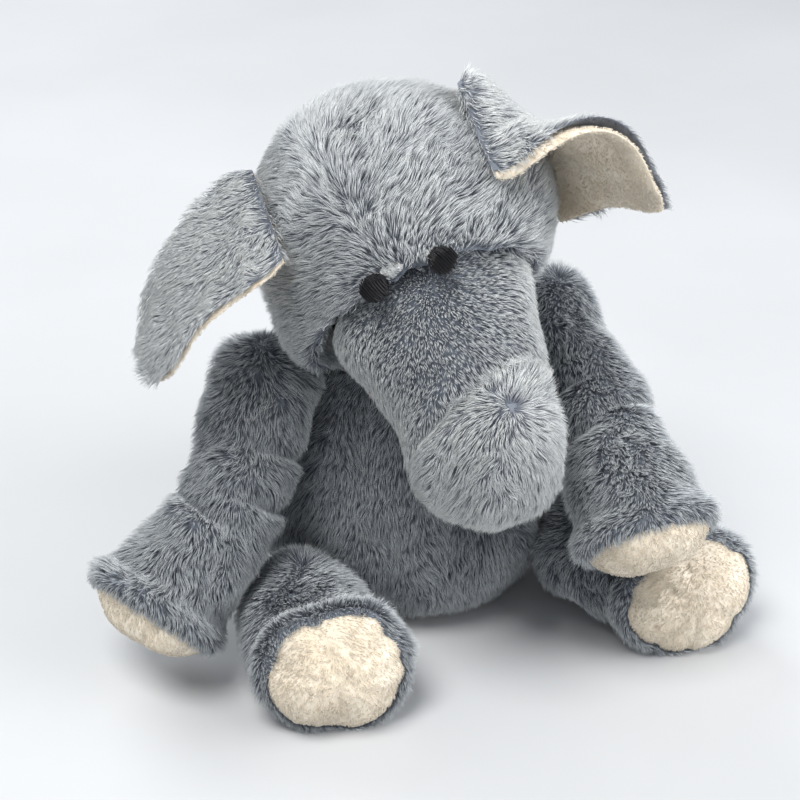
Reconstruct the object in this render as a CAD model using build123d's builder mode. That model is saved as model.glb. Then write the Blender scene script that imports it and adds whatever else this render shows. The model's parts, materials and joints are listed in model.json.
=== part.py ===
"""Seated plush elephant: fabric skins over soft fillings, sewn together at ball-ended roots.

Frame: millimetres, +Z up, the elephant faces -Y and its left side is +X.  The origin is the
centre of the flat seat on which the body rests.
"""
from build123d import *
from math import asin, cos, radians, sin, sqrt
import os

os.makedirs("parts", exist_ok=True)

# ---- fabric and fits -----------------------------------------------------------------------
SKIN = 2.4  # plush fabric with the dense part of its pile
LAYER_GAP = 0.4  # between a skin and the filling behind it
SEAM_GAP = 0.3  # between two panels of one skin
LIMB_CLEARANCE = 0.8  # between a limb's root ball and its pocket in the body
FOLD_STEP = 0.8  # the forearm starts this much smaller than the elbow

# ---- body ----------------------------------------------------------------------------------
# each level: height, how far back its centre lies, half width, half depth
BODY_LEVELS = [
    (0, 2, 46, 44),
    (10, 3, 61, 59),
    (32, 6, 69, 68),
    (60, 10, 66, 66),
    (90, 15, 58, 57),
    (118, 18, 46, 45),
    (138, 19, 32, 30),
    (146, 19, 21, 19),
]
BODY_TOP = BODY_LEVELS[-1][0]
POUCH_RADIUS = 42  # bag of pellets that weighs down the seat
POUCH_HEIGHT = 26
POUCH_RIM = 7

# ---- head, a ball that turns in a hollow on top of the body ----------------------------------
HEAD_CENTRE = Vector(-16, -26, 180)
HEAD_RADIUS = 57.5
HEAD_TURN = -14  # about +Z, towards the elephant's right
HEAD_TIP = 8  # about +X, face down
HEAD_LEAN = -22  # about +Y, crown towards the elephant's right
NECK_BASE = Vector(0, 12, 120)  # the neck points from here to the head's centre
NECK_SEAM_RADIUS = 26
NECK_CORD = 1.2  # radius of the sewn roll round the neck opening
NECK_CLEARANCE = 0.4
EYE_RADIUS = 6.2
EYE_HEIGHT = 1.4
EYE_SPREAD = 13.2
EYE_LEVEL = 15.5

# ---- trunk, places in the head's own frame -----------------------------------------------------
TRUNK_ROOT = Vector(0, -27, -20)
TRUNK_ROOT_RADIUS = 40.5
TRUNK_TIP = Vector(3, -70, -67)
TRUNK_TIP_RADIUS = 24.5
TRUNK_CAP_DEPTH = 7  # seam of the end cap beyond the centre of the tip ball
TRUNK_CAP_HEIGHT = 13

# ---- ears, places in the head's own frame ------------------------------------------------------
EAR_ROOT_BACK = Vector(44, 8, 47)
EAR_ROOT_FRONT = Vector(43, -39, 27.5)
EAR_OUTER_THICKNESS = 2.6
EAR_LINING_THICKNESS = 2.0
EAR_STANDOFF = 3.0  # root edge of the ear off the head's surface
EAR_LEFT_LIFT = 2  # above the head's tangent plane at the root
EAR_RIGHT_LIFT = 32
EAR_ROOT_HALF = 24
EAR_LENGTH = 78
EAR_WIDTH_BACK = 10
EAR_WIDTH_FRONT = 27
EAR_WIDTH_LOBE = 33  # front edge of the rounded lobe near the tip
EAR_BACK_SWEEP = 8  # the back edge has come this far forward near the tip
EAR_TIP_FORWARD = 27
EAR_SHARES = (0.45, 0.84, 0.88, 1)  # where along the ear its outline has points
EAR_ARCHES = {"left": (40, 96), "right": (14, 46)}  # degrees of rise at the root, degrees bent by the tip

# ---- limbs ---------------------------------------------------------------------------------------
SHOULDER_RADIUS = 23
ELBOW_RADIUS = 23
PAW_RADIUS = 26
HIP_RADIUS = 24
FOOT_RADIUS = 28.5
SOLE_DEPTH = 0.38  # sole seam, as a share of the end ball's radius beyond its centre
SOLE_BULGE = 8
ARMS = {
    "left": {
        "shoulder": Vector(67, -9, 116),
        "elbow": Vector(66, -48, 95),
        "paw": Vector(52, -106, 73.5),
        "sole": Vector(-0.05, -0.78, -0.62),
    },
    "right": {
        "shoulder": Vector(-68, -6, 113.5),
        "elbow": Vector(-90, -21, 81),
        "paw": Vector(-125, -35, 40),
        "sole": Vector(-0.72, -0.34, -0.60),
    },
}
LEGS = {
    "left": {"hip": Vector(62, -51, 26), "foot": Vector(82, -97, 27), "sole": Vector(-0.12, -0.98, 0.14)},
    "right": {"hip": Vector(-69, -44, 26), "foot": Vector(-69, -82, 27), "sole": Vector(-0.30, -0.94, 0.14)},
}

# ---- tail ------------------------------------------------------------------------------------------
TAIL_ROOT = Vector(0, 82, 40)
TAIL_TIP = Vector(0, 98, 13)
TAIL_ROOT_RADIUS = 5
TAIL_TIP_RADIUS = 6


def save(body, name):
    """Label the finished piece and write it."""
    body.part.label = name
    export_step(body.part, f"parts/{name}.step")


def in_head(place):
    """A direction given in the head's own frame, as a direction of the whole toy."""
    return place.rotate(Axis.Y, HEAD_LEAN).rotate(Axis.X, HEAD_TIP).rotate(Axis.Z, HEAD_TURN)


def tapered_ball_end(start, start_radius, end, end_radius):
    """Two balls with the cone that touches both."""
    run = end - start
    length = run.length
    slope = asin((start_radius - end_radius) / length)
    start_touch = (start_radius * sin(slope), start_radius * cos(slope))
    end_touch = (length + end_radius * sin(slope), end_radius * cos(slope))
    half_turn = radians(90) + (radians(90) - slope) / 2
    start_middle = (start_radius * cos(radians(135) - slope / 2), start_radius * sin(radians(135) - slope / 2))
    end_angle = (radians(90) - slope) / 2
    end_middle = (length + end_radius * cos(end_angle), end_radius * sin(end_angle))
    across = run.cross(Vector(0.31, 0.17, 0.94))
    with BuildPart() as solid:
        with BuildSketch(Plane(origin=start, x_dir=run, z_dir=across)):
            with BuildLine():
                ThreePointArc((-start_radius, 0), start_middle, start_touch)
                Line(start_touch, end_touch)
                ThreePointArc(end_touch, end_middle, (length + end_radius, 0))
                Line((length + end_radius, 0), (-start_radius, 0))
            make_face()
        revolve(axis=Axis(start, run))
    return solid.part


def dome(plane, radius, height):
    """Shallow round cap on a plane."""
    ball = (radius**2 + height**2) / (2 * height)
    middle = asin(radius / ball) / 2
    with BuildPart() as solid:
        with BuildSketch(Plane(origin=plane.origin, x_dir=plane.x_dir, z_dir=-plane.y_dir)):
            with BuildLine():
                ThreePointArc((radius, 0), (ball * sin(middle), height - ball + ball * cos(middle)), (0, height))
                Line((0, height), (0, 0))
                Line((0, 0), (radius, 0))
            make_face()
        revolve(axis=Axis(plane.origin, plane.z_dir))
    return solid.part


def body_solid(inset):
    """The body's outer shape, or the same shape drawn in by inset."""
    with BuildPart() as solid:
        for height, back, half_width, half_depth in BODY_LEVELS:
            level = inset + height * (BODY_TOP - 2 * inset) / BODY_TOP
            with BuildSketch(Plane.XY.offset(level)):
                with Locations((0, back)):
                    Ellipse(half_width - inset, half_depth - inset)
        loft()
    return solid.part


def pockets(extra):
    """Hollows of the body for the head and the four limb roots."""
    hollows = [(HEAD_CENTRE, HEAD_POCKET_RADIUS + extra)]
    for arm in ARMS.values():
        hollows.append((arm["shoulder"], SHOULDER_RADIUS + LIMB_CLEARANCE + extra))
    for leg in LEGS.values():
        hollows.append((leg["hip"], HIP_RADIUS + LIMB_CLEARANCE + extra))
    for centre, radius in hollows:
        with Locations(centre):
            Sphere(radius, mode=Mode.SUBTRACT)


HEAD_POCKET_RADIUS = HEAD_RADIUS + 2 * NECK_CLEARANCE + 2 * NECK_CORD
HEAD_X = in_head(Vector(1, 0, 0))
HEAD_Z = in_head(Vector(0, 0, 1))
HEAD_PLANE = Plane(origin=HEAD_CENTRE, x_dir=HEAD_X, z_dir=HEAD_Z)
NECK_AXIS = (HEAD_CENTRE - NECK_BASE).normalized()
SIDES = {"left": 1, "right": -1}


# ---- body: two skin panels that meet at the centre seam, filling, pellet pouch -----------------
for side, sign in SIDES.items():
    with BuildPart() as body_skin:
        add(body_solid(0))
        add(body_solid(SKIN), mode=Mode.SUBTRACT)
        pockets(0)
        split(bisect_by=Plane.YZ.offset(sign * SEAM_GAP / 2), keep=Keep.TOP if sign > 0 else Keep.BOTTOM)
    save(body_skin, f"body_skin_{side}")

pouch_floor = SKIN + LAYER_GAP + 5
pouch_middle = pouch_floor + POUCH_HEIGHT / 2
with BuildPart() as pellet_pouch:
    with BuildSketch(Plane.XZ.offset(-BODY_LEVELS[1][1])):
        with Locations((POUCH_RADIUS / 2, pouch_middle)):
            Rectangle(POUCH_RADIUS, POUCH_HEIGHT)
    revolve(axis=Axis((0, BODY_LEVELS[1][1], 0), (0, 0, 1)))
    fillet(pellet_pouch.edges().filter_by(GeomType.CIRCLE), POUCH_RIM)
save(pellet_pouch, "pellet_pouch")

with BuildPart() as body_filling:
    add(body_solid(SKIN + LAYER_GAP))
    pockets(LAYER_GAP)
    with Locations((0, BODY_LEVELS[1][1], pouch_middle)):
        Cylinder(POUCH_RADIUS + LAYER_GAP, POUCH_HEIGHT + 2 * LAYER_GAP, mode=Mode.SUBTRACT)
save(body_filling, "body_filling")

with BuildPart() as tail:
    add(tapered_ball_end(TAIL_ROOT, TAIL_ROOT_RADIUS, TAIL_TIP, TAIL_TIP_RADIUS))
    add(body_solid(-LAYER_GAP), mode=Mode.SUBTRACT)
save(tail, "tail")

# ---- neck seam, a sewn roll that the head turns on -----------------------------------------------
neck_ring_distance = HEAD_RADIUS + NECK_CLEARANCE + NECK_CORD
neck_drop = sqrt(neck_ring_distance**2 - NECK_SEAM_RADIUS**2)
with BuildPart() as neck_seam:
    ring_centre = HEAD_CENTRE - NECK_AXIS * neck_drop
    with BuildSketch(Plane(origin=ring_centre, x_dir=NECK_AXIS, z_dir=NECK_AXIS.cross(Vector(1, 0, 0)))):
        with Locations((0, NECK_SEAM_RADIUS)):
            Circle(NECK_CORD)
    revolve(axis=Axis(ring_centre, NECK_AXIS))
save(neck_seam, "neck_seam")

# ---- head: two skin panels, filling, embroidered eyes ---------------------------------------------
trunk_root = HEAD_CENTRE + in_head(TRUNK_ROOT)
trunk_tip = HEAD_CENTRE + in_head(TRUNK_TIP)
trunk_pocket_radius = TRUNK_ROOT_RADIUS + LIMB_CLEARANCE
head_seam = Plane(origin=HEAD_CENTRE, x_dir=-HEAD_PLANE.y_dir, z_dir=HEAD_X)
for side, sign in SIDES.items():
    with BuildPart() as head_skin:
        with Locations(HEAD_CENTRE):
            Sphere(HEAD_RADIUS)
            Sphere(HEAD_RADIUS - SKIN, mode=Mode.SUBTRACT)
        with Locations(trunk_root):
            Sphere(trunk_pocket_radius, mode=Mode.SUBTRACT)
        split(bisect_by=head_seam.offset(sign * SEAM_GAP / 2), keep=Keep.TOP if sign > 0 else Keep.BOTTOM)
    save(head_skin, f"head_skin_{side}")

with BuildPart() as head_filling:
    with Locations(HEAD_CENTRE):
        Sphere(HEAD_RADIUS - SKIN - LAYER_GAP)
    with Locations(trunk_root):
        Sphere(trunk_pocket_radius + LAYER_GAP, mode=Mode.SUBTRACT)
save(head_filling, "head_filling")

for side, sign in SIDES.items():
    forward = sqrt(HEAD_RADIUS**2 - EYE_SPREAD**2 - EYE_LEVEL**2)
    eye_out = in_head(Vector(sign * EYE_SPREAD, -forward, EYE_LEVEL)).normalized()
    with BuildPart() as eye:
        with BuildSketch(Plane(origin=HEAD_CENTRE, z_dir=eye_out)):
            Circle(EYE_RADIUS)
        extrude(amount=HEAD_RADIUS + 2 * EYE_HEIGHT)
        with Locations(HEAD_CENTRE):
            Sphere(HEAD_RADIUS + EYE_HEIGHT, mode=Mode.INTERSECT)
            Sphere(HEAD_RADIUS + SEAM_GAP / 3, mode=Mode.SUBTRACT)
    save(eye, f"eye_{side}")

# ---- trunk: upper and lower skin, end cap, filling ----------------------------------------------------
trunk_way = (trunk_tip - trunk_root).normalized()
trunk_end = Plane(origin=trunk_tip + trunk_way * TRUNK_CAP_DEPTH, x_dir=trunk_way.cross(HEAD_Z), z_dir=trunk_way)
trunk_seam = Plane(origin=trunk_tip, x_dir=trunk_way, z_dir=HEAD_Z - trunk_way * HEAD_Z.dot(trunk_way))
trunk_end_radius = sqrt(TRUNK_TIP_RADIUS**2 - TRUNK_CAP_DEPTH**2)


def trunk_solid(inset):
    """The trunk without its end cap, or the same shape drawn in by inset."""
    with BuildPart() as solid:
        add(tapered_ball_end(trunk_root, TRUNK_ROOT_RADIUS - inset, trunk_tip, TRUNK_TIP_RADIUS - inset))
        split(bisect_by=trunk_end, keep=Keep.BOTTOM)
    return solid.part


for name, sign in (("upper", 1), ("lower", -1)):
    with BuildPart() as trunk_skin:
        add(trunk_solid(0))
        add(tapered_ball_end(trunk_root, TRUNK_ROOT_RADIUS - SKIN, trunk_tip, TRUNK_TIP_RADIUS - SKIN),
            mode=Mode.SUBTRACT)
        split(bisect_by=trunk_seam.offset(sign * SEAM_GAP / 2), keep=Keep.TOP if sign > 0 else Keep.BOTTOM)
    save(trunk_skin, f"trunk_skin_{name}")

with BuildPart() as trunk_cap:
    add(dome(trunk_end.offset(SEAM_GAP), trunk_end_radius, TRUNK_CAP_HEIGHT))
    add(dome(trunk_end.offset(SEAM_GAP), trunk_end_radius - SKIN, TRUNK_CAP_HEIGHT - SKIN), mode=Mode.SUBTRACT)
save(trunk_cap, "trunk_cap")

with BuildPart() as trunk_filling:
    add(trunk_solid(SKIN + LAYER_GAP))
    add(dome(trunk_end, trunk_end_radius - SKIN - 2 * LAYER_GAP, TRUNK_CAP_HEIGHT - SKIN - LAYER_GAP))
save(trunk_filling, "trunk_filling")

# ---- ears: a furry outer panel and a smooth lining, both bent over in an arch -----------------------------
def arch_place(rise, turn, share, level=0):
    """Place on an ear's arch, a share of the way from root to tip and a level above the lining's face."""
    radius = EAR_LENGTH / radians(turn)
    heading = radians(rise - turn * share)
    centre = Vector(radius * sin(radians(rise)), -radius * cos(radians(rise)))
    return centre + Vector(-sin(heading), cos(heading)) * (radius + level)


for side, sign, lift in (("left", 1, EAR_LEFT_LIFT), ("right", -1, EAR_RIGHT_LIFT)):
    rise, turn = EAR_ARCHES[side]
    back = in_head(Vector(sign * EAR_ROOT_BACK.X, EAR_ROOT_BACK.Y, EAR_ROOT_BACK.Z))
    front = in_head(Vector(sign * EAR_ROOT_FRONT.X, EAR_ROOT_FRONT.Y, EAR_ROOT_FRONT.Z))
    hinge = (front - back).normalized()
    outward = (front + back).normalized()
    tangent = (hinge.cross(outward) * sign).normalized()
    if tangent.Z > 0:
        tangent = -tangent
    blade = tangent * cos(radians(lift)) + outward * sin(radians(lift))
    face_up = outward * cos(radians(lift)) - tangent * sin(radians(lift))
    root = HEAD_CENTRE + outward * (HEAD_RADIUS + EAR_STANDOFF)
    ear_plane = Plane(origin=root, x_dir=blade, z_dir=face_up)
    forward = 1 if ear_plane.y_dir.dot(hinge) > 0 else -1
    arch_plane = Plane(origin=root, x_dir=blade, z_dir=blade.cross(face_up))
    reaches = {share: arch_place(rise, turn, share).X for share in EAR_SHARES}
    outline = [
        (0, -forward * EAR_ROOT_HALF),
        (reaches[0.45], -forward * EAR_WIDTH_BACK),
        (reaches[0.88], forward * EAR_BACK_SWEEP),
        (reaches[1], forward * EAR_TIP_FORWARD),
        (reaches[0.84], forward * EAR_WIDTH_LOBE),
        (reaches[0.45], forward * EAR_WIDTH_FRONT),
        (0, forward * EAR_ROOT_HALF),
    ]
    layers = {
        "outer": (EAR_LINING_THICKNESS + SEAM_GAP, EAR_LINING_THICKNESS + SEAM_GAP + EAR_OUTER_THICKNESS),
        "lining": (0, EAR_LINING_THICKNESS),
    }
    for layer, (low, high) in layers.items():
        under = [arch_place(rise, turn, share, low) for share in (0, 0.5, 1)]
        over = [arch_place(rise, turn, share, high) for share in (0, 0.5, 1)]
        with BuildPart() as ear:
            with BuildSketch(arch_plane):
                with BuildLine():
                    ThreePointArc(*under)
                    Line(under[-1], over[-1])
                    ThreePointArc(*over)
                    Line(over[0], under[0])
                make_face()
            extrude(amount=2 * EAR_WIDTH_LOBE, both=True)
            with BuildSketch(ear_plane):
                with BuildLine():
                    Spline(*outline)
                    Line(outline[-1], (-EAR_LENGTH, forward * EAR_ROOT_HALF))
                    Line((-EAR_LENGTH, forward * EAR_ROOT_HALF), (-EAR_LENGTH, -forward * EAR_ROOT_HALF))
                    Line((-EAR_LENGTH, -forward * EAR_ROOT_HALF), outline[0])
                make_face()
            extrude(amount=EAR_LENGTH, both=True, mode=Mode.INTERSECT)
        save(ear, f"ear_{side}_{layer}")
    print("ear", side, "root", root, "hinge", hinge, "blade", blade)


# ---- arms and legs: two skin panels, sole, filling -------------------------------------------------------
def make_limb(name, places, sole_out, panel_names, floor):
    """One stuffed limb along a chain of balls; floor is the height it is flattened at, or None."""
    root = places[0][0]
    end, end_radius = places[-1]
    sole_out = sole_out.normalized()
    depth = SOLE_DEPTH * end_radius
    sole_radius = sqrt(end_radius**2 - depth**2)
    sole_plane = Plane(origin=end + sole_out * depth, z_dir=sole_out)
    bend = places[1][0] - root
    panel_normal = bend.cross(end - root) if len(places) > 2 else bend.cross(Vector(0, 0, 1))
    if floor is not None:
        panel_normal = Vector(0, 0, 1)
    seam = Plane(origin=root, z_dir=panel_normal)

    def chain(inset):
        with BuildPart() as solid:
            step = 0
            for (start, start_radius), (stop, stop_radius) in zip(places, places[1:]):
                add(tapered_ball_end(start, start_radius - inset - step, stop, stop_radius - inset))
                step = FOLD_STEP
            if floor is not None:
                split(bisect_by=Plane.XY.offset(floor + inset), keep=Keep.TOP)
        return solid.part

    for panel, sign in zip(panel_names, (1, -1)):
        with BuildPart() as limb_skin:
            add(chain(0))
            add(chain(SKIN), mode=Mode.SUBTRACT)
            split(bisect_by=sole_plane, keep=Keep.BOTTOM)
            split(bisect_by=seam.offset(sign * SEAM_GAP / 2), keep=Keep.TOP if sign > 0 else Keep.BOTTOM)
        save(limb_skin, f"{name}_skin_{panel}")

    with BuildPart() as limb_sole:
        add(dome(sole_plane.offset(SEAM_GAP), sole_radius, SOLE_BULGE))
        add(dome(sole_plane.offset(SEAM_GAP), sole_radius - SKIN, SOLE_BULGE - SKIN), mode=Mode.SUBTRACT)
        if floor is not None:
            split(bisect_by=Plane.XY.offset(floor), keep=Keep.TOP)
    save(limb_sole, f"{name}_sole")

    with BuildPart() as limb_filling:
        add(chain(SKIN + LAYER_GAP))
        split(bisect_by=sole_plane, keep=Keep.BOTTOM)
        add(dome(sole_plane, sole_radius - SKIN - 2 * LAYER_GAP, SOLE_BULGE - SKIN - LAYER_GAP))
        if floor is not None:
            split(bisect_by=Plane.XY.offset(floor + SKIN + LAYER_GAP), keep=Keep.TOP)
    save(limb_filling, f"{name}_filling")


for side, arm in ARMS.items():
    arm_places = [(arm["shoulder"], SHOULDER_RADIUS), (arm["elbow"], ELBOW_RADIUS), (arm["paw"], PAW_RADIUS)]
    make_limb(f"arm_{side}", arm_places, arm["sole"], ("outer", "inner"), None)

for side, leg in LEGS.items():
    leg_places = [(leg["hip"], HIP_RADIUS), (leg["foot"], FOOT_RADIUS)]
    make_limb(f"leg_{side}", leg_places, leg["sole"], ("upper", "lower"), 0)

print("neck axis", NECK_AXIS)
print("trunk root", trunk_root, "tip", trunk_tip, "axis", HEAD_X)
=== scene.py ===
"""Soft look of the seated plush elephant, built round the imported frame.  Units are metres."""
import json
import math

import bmesh
import bpy
import numpy as np
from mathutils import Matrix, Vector, kdtree


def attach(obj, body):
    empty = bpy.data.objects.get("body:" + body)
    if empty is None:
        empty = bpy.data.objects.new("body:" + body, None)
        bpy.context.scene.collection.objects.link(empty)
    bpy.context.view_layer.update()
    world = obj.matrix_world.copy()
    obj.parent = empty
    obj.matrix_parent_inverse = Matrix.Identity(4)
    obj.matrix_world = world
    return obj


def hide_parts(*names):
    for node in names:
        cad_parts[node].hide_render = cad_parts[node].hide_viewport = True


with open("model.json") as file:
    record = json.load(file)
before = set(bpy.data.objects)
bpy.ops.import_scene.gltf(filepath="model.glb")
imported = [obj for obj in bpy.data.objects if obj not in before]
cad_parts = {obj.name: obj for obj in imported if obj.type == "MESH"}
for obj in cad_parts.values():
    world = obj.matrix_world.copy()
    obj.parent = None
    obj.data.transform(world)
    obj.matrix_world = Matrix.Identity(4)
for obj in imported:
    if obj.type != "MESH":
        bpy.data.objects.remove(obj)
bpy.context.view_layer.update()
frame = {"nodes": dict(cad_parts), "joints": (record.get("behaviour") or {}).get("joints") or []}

MM = 0.001

# ---- the look's own sizes ------------------------------------------------------------------
BACKING_LIFT = -1.6 * MM  # backing from the filling's outside, so that pile ends where the CAD skin does
STUFFING_DEPTH = 4.2 * MM  # stuffing starts this far under the backing
VOXEL = 3.0 * MM
REMESH_LOSS = 0.25 * MM  # a remeshed and softened piece has shrunk by this much
PILE_LENGTH = 7.4 * MM
PILE_WIDTH = 0.145 * MM  # radius of one strand at its root
PILE_DENSITY = 2.4 / MM**2
NAP_LENGTH = 2.0 * MM  # short cream pile of soles and ear linings
NAP_WIDTH = 0.16 * MM
NAP_DENSITY = 1.6 / MM**2
STRANDS_PER_PIECE = 21000
LOCK_SIZE = 6  # strands that lean together into one lock
LOCK_TIP_PULL = 0.6  # how far the tips and middles of a lock's strands lean to its leader
LOCK_MIDDLE_PULL = 0.25
SWIRLS = ((26 * MM, 10, 0.45), (9 * MM, 20, 0.35))  # length, seed and strength of the brushed-up swirls
SWIRL_NOISE = 0.16
PILE_ROOT_DEPTH = 0.4 * MM
EYE_PLACE_RADIUS = 5.2 * MM  # no pile grows within this of an eye
EYE_TRIM_RADIUS = 10 * MM  # and it is trimmed within this
EYE_TRIM_SOFTNESS = 1.2 * MM
FLOOR_CLEARANCE = 0.3 * MM


def joint_place(name):
    return Vector(next(j for j in frame["joints"] if j["name"] == name)["pos_m"])


def node_points(*names):
    found = []
    for name in names:
        mesh = frame["nodes"][name].data
        co = np.empty(len(mesh.vertices) * 3, np.float32)
        mesh.vertices.foreach_get("co", co)
        found.append(co.reshape(-1, 3).astype(float))
    return np.concatenate(found)


# ---- places from the frame ------------------------------------------------------------------
HEAD_CENTRE = np.array(joint_place("neck_turn"))
head_points = node_points("head_skin_left", "head_skin_right")
HEAD_RADIUS = float(np.linalg.norm(head_points - HEAD_CENTRE, axis=1).max())
left_middle = node_points("head_skin_left").mean(0)
right_middle = node_points("head_skin_right").mean(0)
EYES = {side: node_points(f"eye_{side}").mean(0) for side in ("left", "right")}
HEAD_X = (left_middle - right_middle) / np.linalg.norm(left_middle - right_middle)
eye_middle = (EYES["left"] + EYES["right"]) / 2 - HEAD_CENTRE
EYE_WAY = eye_middle / np.linalg.norm(eye_middle)
EYE_WAY = EYE_WAY - HEAD_X * (EYE_WAY @ HEAD_X)
EYE_WAY /= np.linalg.norm(EYE_WAY)
HEAD_UP = np.cross(HEAD_X, EYE_WAY) * -1
if HEAD_UP[2] < 0:
    HEAD_UP = -HEAD_UP
TRUNK_ROOT = np.array(joint_place("trunk_bend"))
TRUNK_WAY = node_points("trunk_cap").mean(0) - TRUNK_ROOT
TRUNK_REACH = float(np.linalg.norm(TRUNK_WAY))
TRUNK_WAY = TRUNK_WAY / TRUNK_REACH
SHOULDERS = {s: np.array(joint_place(f"arm_{s}_lift")) for s in ("left", "right")}
HIPS = {s: np.array(joint_place(f"leg_{s}_splay")) for s in ("left", "right")}

# directions of the toy as it is posed before the camera, which place its folds and bulges
VIEW_BACK = np.array([-0.349, -0.783, 0.515])  # from the toy to the camera
VIEW_RIGHT = np.array([0.914, -0.407, 0.0])
VIEW_UP = np.array([0.209, 0.471, 0.857])


# ---- materials -----------------------------------------------------------------------------
def linear(red, green, blue):
    """Numbers of a picked screen colour, 0 to 255, as a linear colour."""
    out = []
    for value in (red, green, blue):
        v = value / 255
        out.append(v / 12.92 if v <= 0.04045 else ((v + 0.055) / 1.055) ** 2.4)
    return (*out, 1.0)


def new_material(name, roughness, sheen):
    """Plain shader of a fabric, to which a colour and a bump are linked."""
    mat = bpy.data.materials.new(name)
    mat.use_nodes = True
    shader = mat.node_tree.nodes["Principled BSDF"]
    shader.inputs["Roughness"].default_value = roughness
    shader.inputs["Sheen Weight"].default_value = sheen
    shader.inputs["Sheen Roughness"].default_value = 0.62
    shader.inputs["Sheen Tint"].default_value = (1, 1, 1, 1)
    shader.inputs["Specular IOR Level"].default_value = 0.25
    return mat, mat.node_tree.nodes, mat.node_tree.links, shader


def pile_material(name, stops, dark, light):
    """Colour along each strand from stops, made darker or lighter by the strand's own tone."""
    mat, nodes, links, shader = new_material(name, 0.62, 0.15)
    place = nodes.new("ShaderNodeUVMap")
    place.uv_map = "pile"
    split = nodes.new("ShaderNodeSeparateXYZ")
    links.new(place.outputs["UV"], split.inputs[0])
    ramp = nodes.new("ShaderNodeValToRGB")
    while len(ramp.color_ramp.elements) < len(stops):
        ramp.color_ramp.elements.new(0.5)
    for element, (position, colour) in zip(ramp.color_ramp.elements, stops):
        element.position = position
        element.color = colour
    links.new(split.outputs["Y"], ramp.inputs["Fac"])
    tone = nodes.new("ShaderNodeValToRGB")
    tone.color_ramp.elements[0].color = dark
    tone.color_ramp.elements[1].color = light
    links.new(split.outputs["X"], tone.inputs["Fac"])
    mix = nodes.new("ShaderNodeMix")
    mix.data_type = "RGBA"
    mix.blend_type = "MULTIPLY"
    mix.inputs["Factor"].default_value = 1.0
    links.new(ramp.outputs["Color"], mix.inputs["A"])
    links.new(tone.outputs["Color"], mix.inputs["B"])
    links.new(mix.outputs["Result"], shader.inputs["Base Color"])
    return mat


def cloth_material(name, low, high, scale, bump, roughness=0.85, sheen=0.3):
    """Fabric backing: mottled colour and a fine fibrous bump."""
    mat, nodes, links, shader = new_material(name, roughness, sheen)
    coords = nodes.new("ShaderNodeTexCoord")
    mottle = nodes.new("ShaderNodeTexNoise")
    mottle.inputs["Scale"].default_value = scale
    mottle.inputs["Detail"].default_value = 6
    links.new(coords.outputs["Object"], mottle.inputs["Vector"])
    ramp = nodes.new("ShaderNodeValToRGB")
    ramp.color_ramp.elements[0].position = 0.35
    ramp.color_ramp.elements[1].position = 0.68
    ramp.color_ramp.elements[0].color = low
    ramp.color_ramp.elements[1].color = high
    links.new(mottle.outputs["Fac"], ramp.inputs["Fac"])
    links.new(ramp.outputs["Color"], shader.inputs["Base Color"])
    grain = nodes.new("ShaderNodeTexNoise")
    grain.inputs["Scale"].default_value = 1400
    grain.inputs["Detail"].default_value = 4
    links.new(coords.outputs["Object"], grain.inputs["Vector"])
    relief = nodes.new("ShaderNodeBump")
    relief.inputs["Strength"].default_value = bump
    relief.inputs["Distance"].default_value = 0.0006
    links.new(grain.outputs["Fac"], relief.inputs["Height"])
    links.new(relief.outputs["Normal"], shader.inputs["Normal"])
    return mat


HEAD_PILE = pile_material(
    "head_pile",
    [
        (0.0, linear(98, 103, 117)),
        (0.3, linear(136, 141, 150)),
        (0.6, linear(198, 202, 203)),
        (1.0, linear(236, 237, 235)),
    ],
    (0.70, 0.72, 0.75, 1),
    (1.18, 1.17, 1.16, 1),
)
BODY_PILE = pile_material(
    "body_pile",
    [
        (0.0, linear(62, 68, 80)),
        (0.4, linear(108, 115, 124)),
        (0.72, linear(178, 184, 188)),
        (1.0, linear(234, 236, 236)),
    ],
    (0.60, 0.62, 0.66, 1),
    (1.26, 1.25, 1.23, 1),
)
CREAM_PILE = pile_material(
    "cream_pile",
    [(0.0, linear(214, 200, 178)), (0.6, linear(236, 226, 208)), (1.0, linear(250, 244, 232))],
    (0.86, 0.84, 0.81, 1),
    (1.08, 1.08, 1.08, 1),
)
BLUE_BACKING = cloth_material("blue_backing", linear(92, 99, 110), linear(122, 129, 139), 60, 0.5)
CREAM_BACKING = cloth_material("cream_backing", linear(222, 208, 186), linear(240, 230, 212), 90, 0.35)
FIBRE = cloth_material("polyester_fibre", linear(225, 226, 224), linear(246, 246, 243), 120, 0.8)
POUCH_CLOTH = cloth_material("pouch_cloth", linear(206, 204, 196), linear(226, 224, 216), 200, 0.4)
SEAM_THREAD = cloth_material("seam_thread", linear(74, 84, 104), linear(96, 106, 126), 300, 0.4, 0.6, 0.1)
EYE_THREAD = cloth_material("black_thread", linear(9, 9, 11), linear(22, 22, 26), 500, 0.4, 0.36, 0.0)


def wear(obj, material):
    obj.data.materials.clear()
    obj.data.materials.append(material)


# ---- mesh helpers ---------------------------------------------------------------------------
def new_object(name, mesh):
    obj = bpy.data.objects.new(name, mesh)
    bpy.context.scene.collection.objects.link(obj)
    return obj


def points_of(obj):
    co = np.empty(len(obj.data.vertices) * 3, np.float32)
    obj.data.vertices.foreach_get("co", co)
    return co.reshape(-1, 3).astype(float)


def normals_of(obj):
    out = np.empty(len(obj.data.vertices) * 3, np.float32)
    obj.data.vertices.foreach_get("normal", out)
    return out.reshape(-1, 3).astype(float)


def move_points(obj, points):
    obj.data.vertices.foreach_set("co", points.astype(np.float32).ravel())
    obj.data.update()


def apply_modifiers(obj):
    evaluated = obj.evaluated_get(bpy.context.evaluated_depsgraph_get())
    mesh = bpy.data.meshes.new_from_object(evaluated)
    old = obj.data
    obj.modifiers.clear()
    obj.data = mesh
    bpy.data.meshes.remove(old)


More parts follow.
